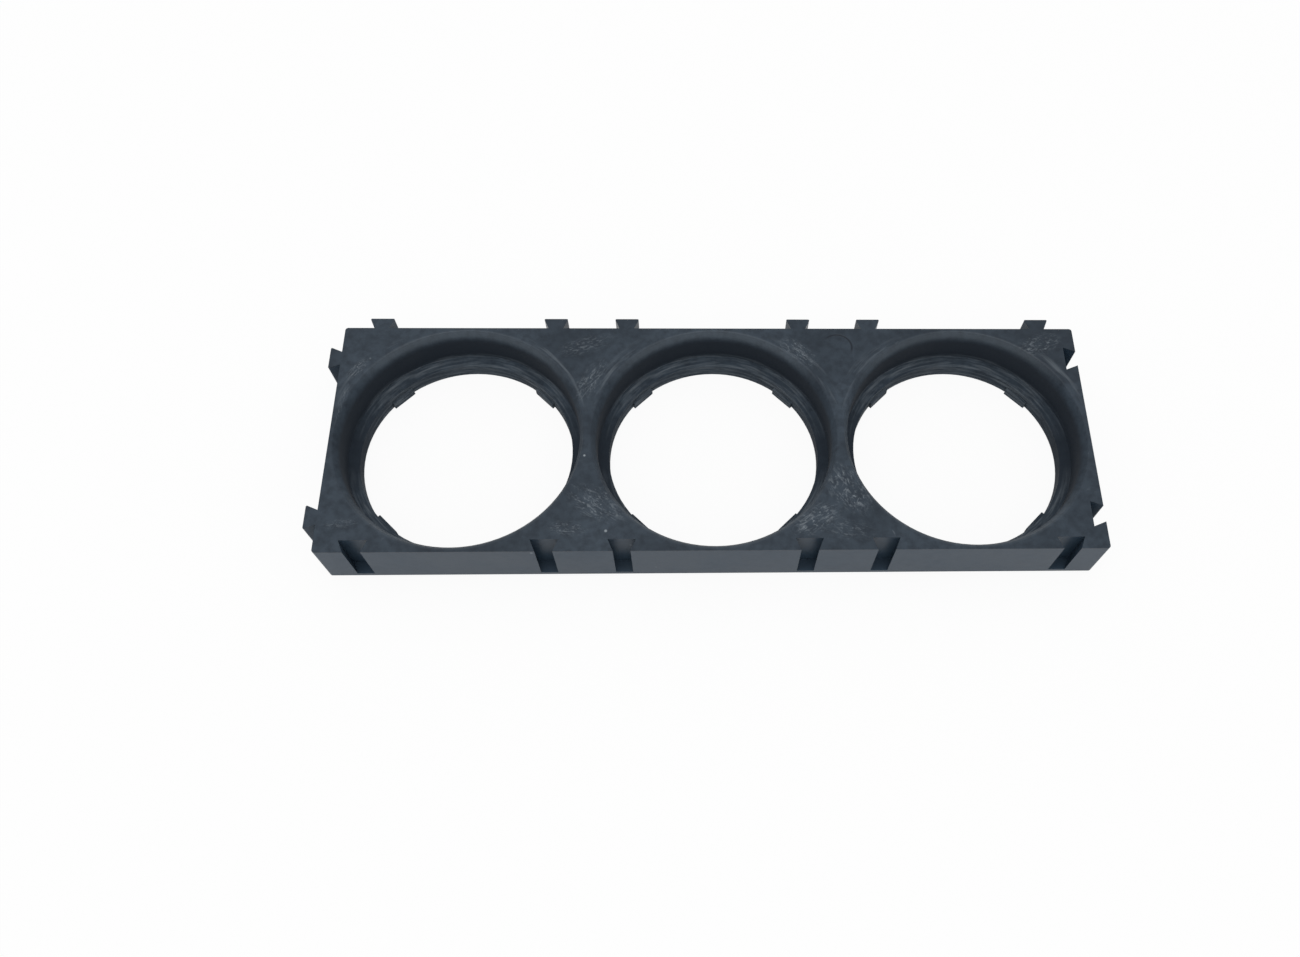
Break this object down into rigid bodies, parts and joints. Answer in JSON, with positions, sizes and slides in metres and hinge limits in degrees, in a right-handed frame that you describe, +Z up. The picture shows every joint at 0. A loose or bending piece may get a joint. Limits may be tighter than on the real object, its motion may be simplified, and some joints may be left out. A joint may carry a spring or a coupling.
{
  "type": "battery cell holder bracket",
  "caption": "Flat moulded bracket that holds a row of large cylindrical cells in stepped bores and locks to its neighbours with dovetail keys and slots.",
  "frame": {"origin": "on the middle cell bore's axis; the part stands on z = 0", "axes": "+X along the row of bores, to the slot end; +Y to the back, where the keys stand out; +Z up, out of the cell seats"},
  "size_m": [0.1066, 0.0366, 0.008],
  "materials": {
    "black_abs": "satin moulded black plastic with flow and rub marks"
  },
  "bodies": {
    "root": {"cell_holder": "black_abs"}
  },
  "joints": []
}
